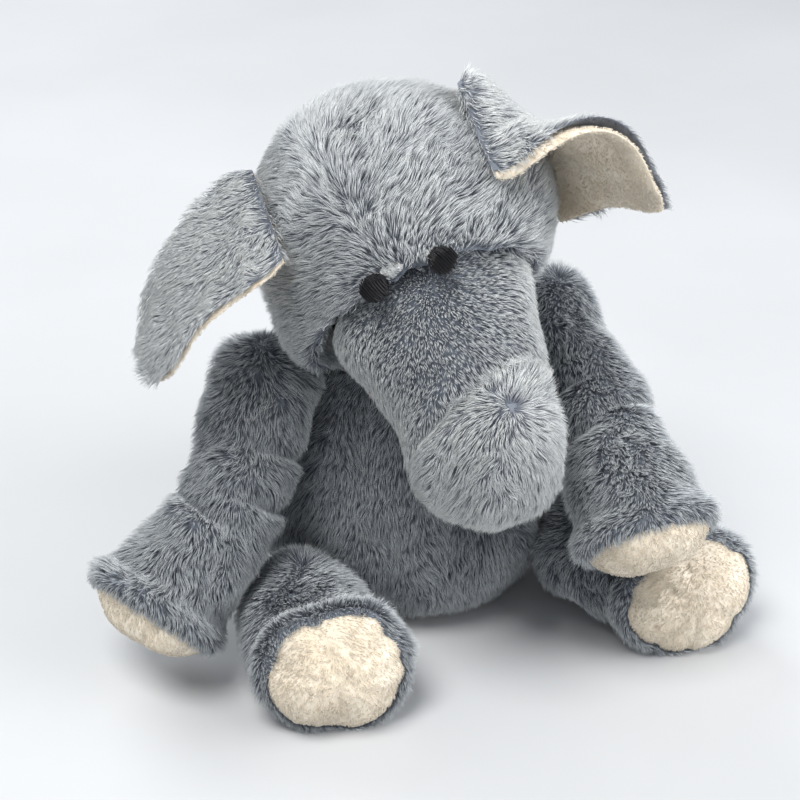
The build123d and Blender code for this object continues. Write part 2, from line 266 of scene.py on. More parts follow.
def waves(points, length, seed):
    """Smooth random values, about -1 to 1, that vary over the given length."""
    rng = np.random.default_rng(seed)
    total = np.zeros(len(points))
    for _ in range(7):
        way = rng.normal(size=3)
        way /= np.linalg.norm(way)
        pitch = 2 * math.pi / (length * rng.uniform(0.7, 1.5))
        total += np.sin(points @ way * pitch + rng.uniform(0, 6.28))
    return total / 3.2


def unit(vectors):
    return vectors / np.maximum(np.linalg.norm(vectors, axis=-1, keepdims=True), 1e-9)


def stuffed_base(name, node, voxel=VOXEL, lift=BACKING_LIFT):
    """A closed, evenly meshed copy of a filling, moved out to where the fabric backing lies."""
    obj = new_object(name, frame["nodes"][node].data.copy())
    weld = obj.modifiers.new("weld", "WELD")
    weld.merge_threshold = 0.05 * MM
    remesh = obj.modifiers.new("remesh", "REMESH")
    remesh.mode = "VOXEL"
    remesh.voxel_size = voxel
    soften = obj.modifiers.new("soften", "SMOOTH")
    soften.factor = 0.5
    soften.iterations = 6
    apply_modifiers(obj)
    move_points(obj, points_of(obj) + normals_of(obj) * (lift + REMESH_LOSS))
    return obj


def lumps(obj, height, length, seed):
    """Uneven stuffing."""
    points = points_of(obj)
    move_points(obj, points + normals_of(obj) * (waves(points, length, seed) * height)[:, None])


def crease(obj, place, way, depth, width, reach):
    """A fold pressed in along the plane through place, fading with distance from place."""
    points = points_of(obj)
    way = unit(np.array(way, float))
    offset = points - np.array(place, float)
    across = np.exp(-((offset @ way) / width) ** 2)
    near = np.exp(-(np.linalg.norm(offset, axis=1) / reach) ** 2)
    lip = 0.5 * np.exp(-(((np.abs(offset @ way) - 2 * width) / width) ** 2))
    move_points(obj, points + normals_of(obj) * ((lip * 0.7 - across) * near * depth)[:, None])


def keep_off_floor(obj):
    points = points_of(obj)
    points[:, 2] = np.maximum(points[:, 2], FLOOR_CLEARANCE)
    move_points(obj, points)


def refine(obj):
    surface = obj.modifiers.new("refine", "SUBSURF")
    surface.levels = 1
    surface.render_levels = 1
    apply_modifiers(obj)
    obj.data.shade_smooth()


def cut_end(obj, place, way, name):
    """Splits a closed piece at a plane into the part behind it and the part in front, both closed."""
    front = new_object(name, obj.data.copy())
    for piece, clear_outer in ((obj, True), (front, False)):
        bm = bmesh.new()
        bm.from_mesh(piece.data)
        geometry = bm.verts[:] + bm.edges[:] + bm.faces[:]
        cut = bmesh.ops.bisect_plane(
            bm, geom=geometry, plane_co=place, plane_no=way,
            clear_outer=clear_outer, clear_inner=not clear_outer,
        )
        rim = [g for g in cut["geom_cut"] if isinstance(g, bmesh.types.BMEdge)]
        bmesh.ops.holes_fill(bm, edges=rim, sides=0)
        bm.to_mesh(piece.data)
        bm.free()
    return front


# ---- pile -----------------------------------------------------------------------------------
def sample_surface(obj, density, rng):
    """Random places on the piece's faces, with smooth normals."""
    mesh = obj.data
    mesh.calc_loop_triangles()
    corners = np.empty(len(mesh.loop_triangles) * 3, np.int32)
    mesh.loop_triangles.foreach_get("vertices", corners)
    corners = corners.reshape(-1, 3)
    points, normals = points_of(obj), normals_of(obj)
    a, b, c = (points[corners[:, i]] for i in range(3))
    area = np.linalg.norm(np.cross(b - a, c - a), axis=1) / 2
    count = int(area.sum() * density)
    pick = rng.choice(len(corners), size=count, p=area / area.sum())
    u, v = rng.random(count), rng.random(count)
    flip = u + v > 1
    u[flip], v[flip] = 1 - u[flip], 1 - v[flip]
    weights = np.stack([1 - u - v, u, v], 1)[:, :, None]
    where = (points[corners[pick]] * weights).sum(1)
    normal = unit((normals[corners[pick]] * weights).sum(1))
    return where, normal


def strand_mesh(name, root, middle, tip, tone, width, rng):
    """Tapered three-sided strands as one mesh, with each strand's tone and length laid out as a map."""
    count = len(root)
    along = unit(tip - root)
    side = unit(np.cross(along, rng.normal(size=(count, 3))))
    other = np.cross(along, side)
    rings = []
    for place, share in ((root, 1.0), (middle, 0.85)):
        for corner in range(3):
            angle = 2 * math.pi * corner / 3
            spoke = side * math.cos(angle) + other * math.sin(angle)
            rings.append(place + spoke * (width * share)[:, None])
    verts = np.stack(rings + [tip], 1).reshape(-1, 3)
    pattern = np.array([0, 1, 4, 3, 1, 2, 5, 4, 2, 0, 3, 5, 3, 4, 6, 4, 5, 6, 5, 3, 6])
    loops = (pattern[None, :] + 7 * np.arange(count)[:, None]).ravel()
    sizes = np.tile(np.array([4, 4, 4, 3, 3, 3]), count)
    mesh = bpy.data.meshes.new(name)
    mesh.vertices.add(len(verts))
    mesh.vertices.foreach_set("co", verts.astype(np.float32).ravel())
    mesh.loops.add(len(loops))
    mesh.loops.foreach_set("vertex_index", loops.astype(np.int32))
    mesh.polygons.add(len(sizes))
    mesh.polygons.foreach_set("loop_start", np.concatenate([[0], np.cumsum(sizes)[:-1]]).astype(np.int32))
    height = np.array([0.02, 0.02, 0.02, 0.52, 0.52, 0.52, 0.98])
    spread = np.array([-0.004, 0.0, 0.004, -0.003, 0.0, 0.003, 0.0])
    place = np.stack(
        [(tone[:, None] + spread[None, :])[:, pattern].ravel(), np.tile(height[pattern], count)], 1
    ).astype(np.float32)
    for layer in ("pile", "OFBake"):
        mesh.uv_layers.new(name=layer).data.foreach_set("uv", place.ravel())
    mesh.update()
    mesh.shade_smooth()
    return mesh


def grow_pile(name, skin, body, material, lay, length, stand=0.6, density=PILE_DENSITY, width=PILE_WIDTH,
              hidden=(), seed=1, trim=None, lighten=None):
    """Covers a piece with pile.  lay gives the way that the pile is brushed at each place."""
    rng = np.random.default_rng(seed)
    where, normal = sample_surface(skin, density, rng)
    keep = where[:, 2] > 2 * FLOOR_CLEARANCE
    for centre, radius in hidden:
        keep &= np.linalg.norm(where - np.array(centre), axis=1) > radius
    where, normal = where[keep], normal[keep]
    count = len(where)
    brushed = lay(where, normal)
    brushed = brushed - normal * (brushed * normal).sum(1)[:, None]
    brushed = unit(brushed)
    swirl = np.zeros((count, 3))
    for reach, shift, strength in SWIRLS:
        swirl += np.stack([waves(where, reach, seed + shift + k) for k in range(3)], 1) * strength
    swirl += rng.normal(size=(count, 3)) * SWIRL_NOISE
    brushed = unit(brushed + swirl - normal * (swirl * normal).sum(1)[:, None])
    upright = stand(where, normal) if callable(stand) else np.full(count, stand)
    size = length * rng.uniform(0.72, 1.15, count) * (1 + 0.12 * waves(where, 18 * MM, seed + 31))
    if trim is not None:
        size *= trim(where)
    first = unit(normal * upright[:, None] + brushed * (1 - upright)[:, None])
    second = unit(normal * (upright * 0.62)[:, None] + brushed * (1.12 - upright)[:, None])
    root = where - normal * PILE_ROOT_DEPTH
    middle = where + first * (size * 0.5)[:, None]
    tip = middle + second * (size * 0.5)[:, None]
    locks = rng.choice(count, size=max(1, count // LOCK_SIZE), replace=False)
    tree = kdtree.KDTree(len(locks))
    for i, k in enumerate(locks):
        tree.insert(where[k], i)
    tree.balance()
    nearest = np.array([tree.find(p)[1] for p in where])
    leader = locks[nearest]
    pull = rng.uniform(0.3, 0.75, len(locks))[nearest][:, None]
    tip = tip + (tip[leader] - tip) * pull * LOCK_TIP_PULL
    middle = middle + (middle[leader] - middle) * pull * LOCK_MIDDLE_PULL
    tip[:, 2] = np.maximum(tip[:, 2], FLOOR_CLEARANCE + 0.5 * MM * rng.random(count))
    middle[:, 2] = np.maximum(middle[:, 2], FLOOR_CLEARANCE + 0.5 * MM * rng.random(count))
    lock_tone = rng.normal(0, 0.10, len(locks))[nearest]
    tone = 0.5 + lock_tone + 0.10 * waves(where, 40 * MM, seed + 41) + rng.normal(0, 0.10, count)
    # lighten shifts each strand's tone; on the limbs, the trunk and the ears this lightening is painted
    # light
    if lighten is not None:
        tone = tone + lighten(where)
    tone = np.clip(tone, 0.03, 0.97)
    thick = width * rng.uniform(0.75, 1.2, count)
    order = np.argsort(rng.random(count))
    made = []
    pieces = max(1, math.ceil(count / STRANDS_PER_PIECE))
    for i, part in enumerate(np.array_split(order, pieces)):
        label = f"{name}_{i + 1}" if pieces > 1 else name
        mesh = strand_mesh(label, root[part], middle[part], tip[part], tone[part], thick[part], rng)
        obj = new_object(label, mesh)
        wear(obj, material)
        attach(obj, body)
        made.append(obj)
    return made


def toward(way):
    """Brushed one steady way."""
    way = np.array(way, float)
    return lambda where, normal: np.tile(way, (len(where), 1))


def away_from(place, way, blend=0.5):
    """Brushed outward from a place, mixed with one steady way."""
    place, way = np.array(place, float), np.array(way, float)
    return lambda where, normal: unit(where - place) * blend + way * (1 - blend)


def push(obj, place, way, height, reach):
    """Moves the surface round a place along one way, fading with distance."""
    points = points_of(obj)
    near = np.exp(-(np.linalg.norm(points - np.array(place, float), axis=1) / reach) ** 2)
    move_points(obj, points + near[:, None] * unit(np.array(way, float)) * height)


def evenly(value):
    """A lightening of the pile that is the same everywhere."""
    return lambda where: np.full(len(where), value)


def stuffing(skin, name, body):
    """The filling as it lies inside the backing."""
    core = new_object(f"{name}_stuffing", skin.data.copy())
    move_points(core, points_of(core) - normals_of(core) * STUFFING_DEPTH)
    soften = core.modifiers.new("soften", "SMOOTH")
    soften.factor = 0.5
    soften.iterations = 16
    apply_modifiers(core)
    core.data.shade_smooth()
    wear(core, FIBRE)
    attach(core, body)
    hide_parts(f"{name}_filling")


# ---- body -----------------------------------------------------------------------------------
body_skin = stuffed_base("body_backing", "body_filling")
lumps(body_skin, 0.9 * MM, 34 * MM, 3)
keep_off_floor(body_skin)
stuffing(body_skin, "body", "body")
refine(body_skin)
wear(body_skin, BLUE_BACKING)
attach(body_skin, "body")
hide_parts("body_skin_left", "body_skin_right")

under_head = [(HEAD_CENTRE, HEAD_RADIUS - 1 * MM)]
under_limbs = [(p, 20 * MM) for p in (*SHOULDERS.values(), *HIPS.values())]
grow_pile("body_pile", body_skin, "body", BODY_PILE, toward((0, -0.15, -1)), PILE_LENGTH,
          hidden=under_head + under_limbs, seed=5)

# ---- head -----------------------------------------------------------------------------------
JOWL_WAY = VIEW_RIGHT * -0.57 - VIEW_UP * 0.82
JOWL_OTHER = JOWL_WAY - 2 * HEAD_X * (JOWL_WAY @ HEAD_X)
head_skin = stuffed_base("head_backing", "head_filling")
for jowl in (JOWL_WAY, JOWL_OTHER):
    push(head_skin, HEAD_CENTRE + jowl * HEAD_RADIUS, jowl, 9 * MM, 24 * MM)
crown_corner = HEAD_CENTRE + (VIEW_UP * 0.7 - VIEW_RIGHT * 0.7) * HEAD_RADIUS
push(head_skin, crown_corner, VIEW_UP - VIEW_RIGHT, 3 * MM, 32 * MM)
lumps(head_skin, 0.6 * MM, 40 * MM, 7)
forehead = HEAD_CENTRE + (HEAD_UP * 0.8 + EYE_WAY * 0.6) * HEAD_RADIUS
crease(head_skin, forehead, HEAD_X, 1.2 * MM, 3 * MM, 45 * MM)
stuffing(head_skin, "head", "head")
refine(head_skin)
wear(head_skin, BLUE_BACKING)
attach(head_skin, "head")
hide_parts("head_skin_left", "head_skin_right")


def head_lay(where, normal):
    """From the forehead seam out to the sides, and down and back from the crown."""
    offset = where - HEAD_CENTRE
    side = np.tanh((offset @ HEAD_X) / (12 * MM))[:, None] * HEAD_X
    front = np.clip((offset @ EYE_WAY) / HEAD_RADIUS, 0, 1)[:, None]
    return side * 0.9 + HEAD_UP * 0.45 * front - EYE_WAY * 0.3 - HEAD_UP * 0.35 * (1 - front)


def near_eyes(where, radius):
    """0 at an eye, rising to 1 beyond the radius."""
    gap = np.minimum(*(np.linalg.norm(where - EYES[s], axis=1) for s in EYES))
    return 1 / (1 + np.exp(-(gap - radius) / EYE_TRIM_SOFTNESS))


round_eyes = [(EYES["left"], EYE_PLACE_RADIUS), (EYES["right"], EYE_PLACE_RADIUS)]
grow_pile("head_pile", head_skin, "head", HEAD_PILE, head_lay, PILE_LENGTH,
          hidden=[(TRUNK_ROOT, 30 * MM), *round_eyes], seed=11, stand=0.55,
          trim=lambda p: 0.4 + 0.6 * near_eyes(p, EYE_TRIM_RADIUS), lighten=evenly(-0.2))


# ---- eyes: satin stitches laid side by side over a small pad -------------------------------------
EYE_RADIUS = 5.3 * MM
EYE_THREAD_RADIUS = 0.62 * MM
EYE_ROWS = 11
EYE_STEPS = 9  # along one stitch
EYE_LAYER = 0.35 * MM  # the second layer of stitches lies this much higher
EYE_RISE = 2.0 * MM  # the pad is this far up the head from the middle of the CAD pad


def embroidered_eye(side, seed):
    """Two layers of slightly uneven stitches over a round pad."""
    rng = np.random.default_rng(seed)
    out = unit(EYES[side] - HEAD_CENTRE)
    across = unit(np.cross(HEAD_UP, out))
    up = np.cross(out, across)
    centre = EYES[side] + up * EYE_RISE
    radius, rows, steps = EYE_RADIUS, EYE_ROWS, EYE_STEPS
    bm = bmesh.new()
    for row, layer in ((r, k) for r in range(rows) for k in range(2)):
        line = -radius + (row + 0.5 + 0.4 * layer) * 2 * radius / rows
        if abs(line) >= radius * 0.97:
            continue
        half = math.sqrt(radius**2 - line**2) * (1 - 0.08 * layer) + rng.uniform(-0.7, 0.5) * MM
        slant = rng.uniform(-0.25, 0.25) * MM
        rings = []
        for i in range(steps + 1):
            s = -1 + 2 * i / steps
            dome = 1.8 * MM * (1 - (line / radius) ** 2 * 0.7) * (1 - s**4)
            height = dome + layer * EYE_LAYER
            place = centre + across * (line + slant * s) + up * (half * s) + out * height
            width = EYE_THREAD_RADIUS * (0.6 if abs(s) < 0.99 else 0.3)
            turns = [2 * math.pi * k / 6 for k in range(6)]
            spokes = [(across * math.cos(a) + out * 0.8 * math.sin(a)) * width for a in turns]
            rings.append([bm.verts.new(place + spoke) for spoke in spokes])
        for one, two in zip(rings, rings[1:]):
            for k in range(6):
                bm.faces.new((one[k], one[(k + 1) % 6], two[(k + 1) % 6], two[k]))
        bm.faces.new(rings[0][::-1])
        bm.faces.new(rings[-1])
    pad = [bm.verts.new(centre + (across * math.cos(a) + up * math.sin(a)) * radius * 0.86)
           for a in (2 * math.pi * k / 24 for k in range(24))]
    foot = [bm.verts.new(v.co - Vector(out) * 6 * MM) for v in pad]
    for k in range(24):
        bm.faces.new((pad[k], foot[k], foot[(k + 1) % 24], pad[(k + 1) % 24]))
    bm.faces.new(pad)
    bm.faces.new(foot[::-1])
    bmesh.ops.recalc_face_normals(bm, faces=bm.faces[:])
    mesh = bpy.data.meshes.new(f"eye_stitches_{side}")
    bm.to_mesh(mesh)
    bm.free()
    eye = new_object(f"eye_stitches_{side}", mesh)
    wear(eye, EYE_THREAD)
    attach(eye, "head")
    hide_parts(f"eye_{side}")


embroidered_eye("left", 3)
embroidered_eye("right", 4)

# ---- trunk ----------------------------------------------------------------------------------
TRUNK_TIP = TRUNK_ROOT + TRUNK_WAY * (TRUNK_REACH - 5 * MM)
BULB_CENTRE = TRUNK_TIP + (VIEW_UP * 13 - VIEW_RIGHT * 10 + VIEW_BACK * 2) * MM
BULB_RADIUS = 27.5 * MM
CAP_EDGE = 2 * MM  # how gradually the pile turns from the trunk's side to its end disc
CAP_WAY = unit(0.75 * TRUNK_WAY + 0.25 * VIEW_RIGHT + 0.35 * VIEW_BACK)  # the end disc faces up and forward
CAP_PLACE = BULB_CENTRE - CAP_WAY * 10 * MM
CAP_TOP = BULB_CENTRE + (VIEW_UP * 16 + VIEW_RIGHT * 8 + VIEW_BACK * 20) * MM


def round_out(obj, centre, radius):
    """Swells the surface inside a ball out to that ball."""
    points = points_of(obj)
    offset = points - centre
    gap = np.linalg.norm(offset, axis=1)
    swell = np.maximum(radius - gap, 0) * (gap > radius * 0.25)
    move_points(obj, points + unit(offset) * swell[:, None])


trunk_skin = stuffed_base("trunk_backing", "trunk_filling")
trunk_flank = TRUNK_TIP - VIEW_RIGHT * 24 * MM + VIEW_UP * 6 * MM
push(trunk_skin, trunk_flank, -VIEW_RIGHT - 0.2 * VIEW_UP, 5 * MM, 26 * MM)
round_out(trunk_skin, BULB_CENTRE, BULB_RADIUS)
lumps(trunk_skin, 0.8 * MM, 26 * MM, 9)
crease(trunk_skin, CAP_PLACE, CAP_WAY, 1.8 * MM, 2.6 * MM, 60 * MM)
stuffing(trunk_skin, "trunk", "trunk")
refine(trunk_skin)
wear(trunk_skin, BLUE_BACKING)
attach(trunk_skin, "trunk")
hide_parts("trunk_skin_upper", "trunk_skin_lower", "trunk_cap")


def trunk_lay(where, normal):
    """Along the trunk to the end disc, and outward from the top of the disc."""
    on_cap = 1 / (1 + np.exp(-((where - CAP_PLACE) @ CAP_WAY) / CAP_EDGE))[:, None]
    return unit(where - CAP_TOP) * on_cap + (TRUNK_WAY * 0.9 + HEAD_X * 0.2)[None, :] * (1 - on_cap)


def bridge(where):
    """1 on top of the trunk between its root and the end disc, falling to 0 at its sides."""
    offset = where - TRUNK_ROOT
    top = unit(offset - (offset @ TRUNK_WAY)[:, None] * TRUNK_WAY) @ unit(VIEW_BACK)
    behind_cap = 1 / (1 + np.exp(((where - CAP_PLACE) @ CAP_WAY + CAP_EDGE) / CAP_EDGE))
    return np.clip(top * 1.9 - 0.5, 0, 1) * behind_cap


def trunk_stand(where, normal):
    """The pile on the bridge of the trunk is short and stands up."""
    return 0.48 + 0.42 * bridge(where)


# the trunk's pile is lightened on its sides and end but not on its top: painted light on the lit sides and
# end
grow_pile("trunk_pile", trunk_skin, "trunk", HEAD_PILE, trunk_lay, PILE_LENGTH, stand=trunk_stand,
          hidden=[(HEAD_CENTRE, HEAD_RADIUS - 12 * MM), *round_eyes], seed=17,
          trim=lambda p: (0.4 + 0.6 * near_eyes(p, EYE_TRIM_RADIUS)) * (1 - 0.45 * bridge(p)),
          lighten=lambda p: 0.24 * (1 - bridge(p)))


# ---- limbs ----------------------------------------------------------------------------------
SOLE_SETBACK = 2 * MM  # the soft sole is sewn on this far up the limb from the CAD sole
HEM_START = 0.5  # share of its length that the pile has at the sole seam
HEM_REACH = 12 * MM  # how soon it grows to its full length
PUCKERS = 9  # round each sole
PUCKER_WIDTH = 0.13  # radians
PUCKER_DEPTH = 1.6 * MM
PUCKER_REACH = 6 * MM  # up and down from the sole seam
SEAM_DEPTH = 1.0 * MM
SEAM_WIDTH = 1.6 * MM
FLARE = 6.0 * MM  # the limb widens by this much at its end
FLARE_START = 7 * MM  # above the seam
FLARE_SOFTNESS = 2.4 * MM
CAP_TOLERANCE = 0.02 * MM


def sole_plane(node, root):
    """Where a sole is sewn on, and which way it faces, from its own shape."""
    points = node_points(node)
    middle = points.mean(0)
    _, ways = np.linalg.eigh(np.cov((points - middle).T))
    way = ways[:, 0]
    if way @ (middle - root) < 0:
        way = -way
    place = middle + way * ((points @ way).min() - middle @ way)
    return place, way


def gathers(obj, place, way, depth, seed):
    """Small puckers where the plush is gathered round the sole."""
    points = points_of(obj)
    offset = points - place
    height = offset @ way
    radial = offset - height[:, None] * way
    level = unit(np.cross(way, [0, 0, 1]))
    angle = np.arctan2(radial @ level, radial @ np.cross(way, level))
    rng = np.random.default_rng(seed)
    ripple = np.zeros(len(points))
    for spot in rng.uniform(-math.pi, math.pi, PUCKERS):
        turn = (angle - spot + math.pi) % (2 * math.pi) - math.pi
        ripple += np.exp(-(turn / PUCKER_WIDTH) ** 2) * rng.uniform(0.5, 1.0)
    near = np.exp(-(height / PUCKER_REACH) ** 2)
    seam = np.exp(-(height / SEAM_WIDTH) ** 2)
    flare = FLARE / (1 + np.exp(-(height + FLARE_START) / FLARE_SOFTNESS))
    shift = flare - ripple * depth * near - SEAM_DEPTH * seam
    out = unit(offset + way * 20 * MM)
    blend = np.clip(height / (4 * MM), 0, 1)[:, None]
    move_points(obj, points + (unit(radial) * (1 - blend) + out * blend) * shift[:, None])


def drop_cap(obj, place, way):
    """Removes the flat face that closes a cut piece, so that no pile grows inside."""
    bm = bmesh.new()
    bm.from_mesh(obj.data)
    place, way = Vector(place), Vector(way)
    inside = [f for f in bm.faces if all(abs((v.co - place).dot(way)) < CAP_TOLERANCE for v in f.verts)]
    bmesh.ops.delete(bm, geom=inside, context="FACES_ONLY")
    bm.to_mesh(obj.data)
    bm.free()
    obj.data.update()


def open_copy(obj, place, way):
    """Copy of a cut piece without its flat face."""
    copy = obj.copy()
    copy.data = obj.data.copy()
    drop_cap(copy, place, way)
    return copy


def dress_limb(name, joint, seed, lay_way, folds=(), pushes=()):
    """Backing, stuffing, sole and pile of one arm or leg."""
    root = np.array(joint_place(joint))
    place, way = sole_plane(f"{name}_sole", root)
    place = place - way * SOLE_SETBACK
    skin = stuffed_base(f"{name}_backing", f"{name}_filling")
    for spot, direction, height, reach in pushes:
        push(skin, spot, direction, height, reach)
    lumps(skin, 1.0 * MM, 24 * MM, seed)
    for fold in folds:
        crease(skin, *fold)
    stuffing(skin, name, name)
    refine(skin)
    gathers(skin, place, way, PUCKER_DEPTH, seed)
    keep_off_floor(skin)
    sole = cut_end(skin, place, way, f"{name}_sole_cloth")
    for piece in (skin, sole):
        piece.data.shade_smooth()
        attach(piece, name)
    wear(skin, BLUE_BACKING)
    wear(sole, CREAM_BACKING)
    is_arm = name.startswith("arm")
    panels = ("outer", "inner") if is_arm else ("upper", "lower")
    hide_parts(*(f"{name}_skin_{panel}" for panel in panels))
    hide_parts(f"{name}_sole")

    def hem(where):
        """Shorter pile along the sole seam."""
        return np.clip(HEM_START + (place - where) @ way / HEM_REACH, 0.0, 1.0)

    skin_copy, sole_copy = open_copy(skin, place, way), open_copy(sole, place, way)
    # the limbs' pile is lightened evenly, most on the arms: painted light, a lit copy of the body's pile
    grow_pile(f"{name}_pile", skin_copy, name, BODY_PILE, away_from(root, lay_way, 0.55), PILE_LENGTH,
              seed=seed, trim=hem, lighten=evenly(0.2 if is_arm else 0.06))
    sole_lay = away_from(place - way * 6 * MM, (0, 0, -1), 0.6)
    grow_pile(f"{name}_sole_nap", sole_copy, name, CREAM_PILE, sole_lay, NAP_LENGTH, stand=0.35,
              density=NAP_DENSITY, width=NAP_WIDTH, seed=seed + 1)
    for copy in (skin_copy, sole_copy):
        bpy.data.objects.remove(copy)


# each push: place, way, height and reach; each fold: place, way across it, depth, width and reach
for side, sign in (("left", 1), ("right", -1)):
    shoulder = SHOULDERS[side]
    paw = node_points(f"arm_{side}_sole").mean(0)
    elbow = shoulder * 0.52 + paw * 0.48
    arm_way = unit(paw - shoulder)
    if side == "left":
        upper = shoulder * 0.7 + elbow * 0.3
        pushes = [
            (upper + VIEW_RIGHT * 16 * MM + VIEW_UP * 8 * MM,
             -VIEW_RIGHT - 0.3 * VIEW_UP, 8 * MM, 22 * MM),
            (elbow + VIEW_RIGHT * 20 * MM, -VIEW_RIGHT, 5 * MM, 14 * MM),
            (elbow * 0.4 + paw * 0.6 + VIEW_RIGHT * 20 * MM, VIEW_RIGHT, 3 * MM, 20 * MM),
        ]
    else:
        pushes = [
            (elbow, VIEW_RIGHT, 8 * MM, 30 * MM),
            (elbow * 0.3 + paw * 0.7 - VIEW_RIGHT * 22 * MM, VIEW_UP - VIEW_RIGHT, 4 * MM, 18 * MM),
        ]
    upper_arm = elbow * 0.5 + shoulder * 0.5
    folds = (
        (elbow + np.array([sign * 14, -10, 14]) * MM, arm_way + np.array([0.1, 0.2, 0.2]),
         3.0 * MM, 3.4 * MM, 26 * MM),
        (elbow + np.array([-sign * 16, -10, 4]) * MM, arm_way, 2.6 * MM, 3.2 * MM, 18 * MM),
        (upper_arm + np.array([-sign * 12, -12, 0]) * MM, arm_way, 2.2 * MM, 3.2 * MM, 18 * MM),
    )
    dress_limb(f"arm_{side}", f"arm_{side}_lift", 30 + sign, (0, 0, -1), pushes=pushes, folds=folds)
    hip = HIPS[side]
    foot = node_points(f"leg_{side}_sole").mean(0)
    middle = hip * 0.5 + foot * 0.5
    leg_pushes = [
        (middle + np.array([0, 0, 24]) * MM, (0, 0, -1), 5 * MM, 22 * MM),
        (middle - VIEW_RIGHT * 22 * MM, -VIEW_RIGHT, 7 * MM, 24 * MM),
    ]
    dress_limb(f"leg_{side}", f"leg_{side}_splay", 40 + sign, (0, 0, -0.6), pushes=leg_pushes)

# ---- ears -----------------------------------------------------------------------------------
EAR_TUCK = -0.05  # the root runs this share of the length into the head's pile
EAR_HALF_WIDTH = 25 * MM
EAR_TAPER_START = 0.6  # share of the length where the rounded end begins
EAR_HUMP_END = 0.62  # the raised front rim ends at this share of the length
EAR_STEPS = 40
EAR_COLUMNS = 26
# lift of the blade over the head's tangent, rise at the root and bend by the tip, in degrees;
# height and setback of the raised front rim; how far the front edge is lifted (tilt) and the back
# edge drops in (opening); how far the lining rolls out; drift of the tip to the front
EAR_SHAPE = {
    "left": {
        "lift": 2, "rise": 44, "turn": 104, "rim": 9 * MM, "setback": 11 * MM, "tilt": 11 * MM,
        "opening": 27 * MM, "roll": 5.0 * MM, "length": 80 * MM, "drift": 18 * MM, "taper": 0 * MM,
    },
    "right": {
        "lift": 32, "rise": 14, "turn": 46, "rim": 1 * MM, "setback": 1 * MM, "tilt": 1.5 * MM,
        "opening": 0 * MM, "roll": 1.4 * MM, "length": 71 * MM, "drift": 21 * MM, "taper": 6.5 * MM,
    },
}


def ear_frame(side):
    """Root middle, way along the blade, way to the front and way out of the furry face."""
    root = np.array(joint_place(f"ear_{side}_flap"))
    axis = np.array(next(j for j in frame["joints"] if j["name"] == f"ear_{side}_flap")["axis"])
    forward = unit(axis if axis[1] < 0 else -axis)
    outward = unit(root - HEAD_CENTRE)
    tangent = unit(np.cross(forward, outward))
    if tangent[2] > 0:
        tangent = -tangent
    lift = math.radians(EAR_SHAPE[side]["lift"])
    blade = tangent * math.cos(lift) + outward * math.sin(lift)
    face = outward * math.cos(lift) - tangent * math.sin(lift)
    return root, blade, forward, face


EAR_FRAMES = {side: ear_frame(side) for side in ("left", "right")}


def ear_point(side, s, t, level):
    """Place on the ear: s from root to tip, t from back to front edge, level through its thickness."""
    root, blade, forward, face = EAR_FRAMES[side]
    shape = EAR_SHAPE[side]
    end = max(0.0, s - EAR_TAPER_START) / 0.4
    half = (EAR_HALF_WIDTH - shape["taper"] * s) * math.sqrt(max(0.0, 1 - end ** 2.4)) + 0.4 * MM
    half *= 1 - 0.16 * math.exp(-((s + 0.05) / 0.07) ** 2)
    across = shape["drift"] * max(0.0, s) ** 1.25 + t * half
    radius = shape["length"] / math.radians(shape["turn"])
    rise = math.radians(shape["rise"])
    heading = rise - math.radians(shape["turn"]) * s
    along = radius * (math.sin(rise) - math.sin(heading)) - math.sin(heading) * level
    out = radius * (math.cos(heading) - math.cos(rise)) + math.cos(heading) * level
    near_rim = max(0.0, t) ** 1.5
    hump = math.sin(math.pi * s / EAR_HUMP_END) if 0 < s < EAR_HUMP_END else 0.0
    wobble = 0.9 * MM * math.sin(11 * s + 2 * t) * near_rim
    across -= shape["setback"] * near_rim * hump
    opened = math.sin(0.5 * math.pi * min(1.0, max(0.0, s * 1.4)))
    opening = shape["opening"] * 0.5 * (t - 1) * opened
    along -= math.sin(heading) * opening
    tilted = math.sin(math.pi * min(1.0, max(0.0, s * 0.86)))
    out += shape["rim"] * near_rim * hump + wobble + shape["tilt"] * t * tilted
    out += math.cos(heading) * opening
    return root + blade * along + forward * across + face * out


def ear_sheet(side, name, low, high, reach=0.0, thicken=0.0, steps=EAR_STEPS, columns=EAR_COLUMNS):
    """Closed sheet of one ear layer between two levels; the lining rolls out past the front edge."""
    verts, faces = [], []
    for level in (high, low):
        for i in range(steps + 1):
            for k in range(columns + 1):
                s = EAR_TUCK + (1 - EAR_TUCK) * i / steps
                t = -1 + 2 * k / columns
                middle = 0.5 * (low + high)
                edge = math.sqrt(max(0.0, 1 - max(abs(t), s) ** 10))
                roll = max(0.0, (t - 0.72) / 0.28) if t > 0.72 else 0.0
                swell = math.copysign(thicken, level - middle) * roll * max(edge, 0.1)
                half = (level - middle) * max(edge, 0.08) + swell
                place = ear_point(side, s, t, middle + half - thicken * roll * 0.2)
                fade = math.sin(math.pi * min(1.0, s + 0.12)) ** 0.5
                verts.append(place + EAR_FRAMES[side][2] * reach * roll * fade)
    row = columns + 1
    layer = row * (steps + 1)
    for i in range(steps):
        for k in range(columns):
            a = i * row + k
            faces.append((a, a + 1, a + row + 1, a + row))
            faces.append((layer + a, layer + a + row, layer + a + row + 1, layer + a + 1))
    for k in range(columns):
        faces.append((k, layer + k, layer + k + 1, k + 1))
        a = steps * row + k
        faces.append((a, a + 1, layer + a + 1, layer + a))
    for i in range(steps):
        a = i * row
        faces.append((a, a + row, layer + a + row, layer + a))
        a += columns
        faces.append((a, layer + a, layer + a + row, a + row))
    mesh = bpy.data.meshes.new(name)
    mesh.from_pydata([tuple(v) for v in verts], [], faces)
    bm = bmesh.new()
    bm.from_mesh(mesh)
    bmesh.ops.recalc_face_normals(bm, faces=bm.faces[:])
    bm.to_mesh(mesh)
    bm.free()
    obj = new_object(name, mesh)
    refine(obj)
    return obj


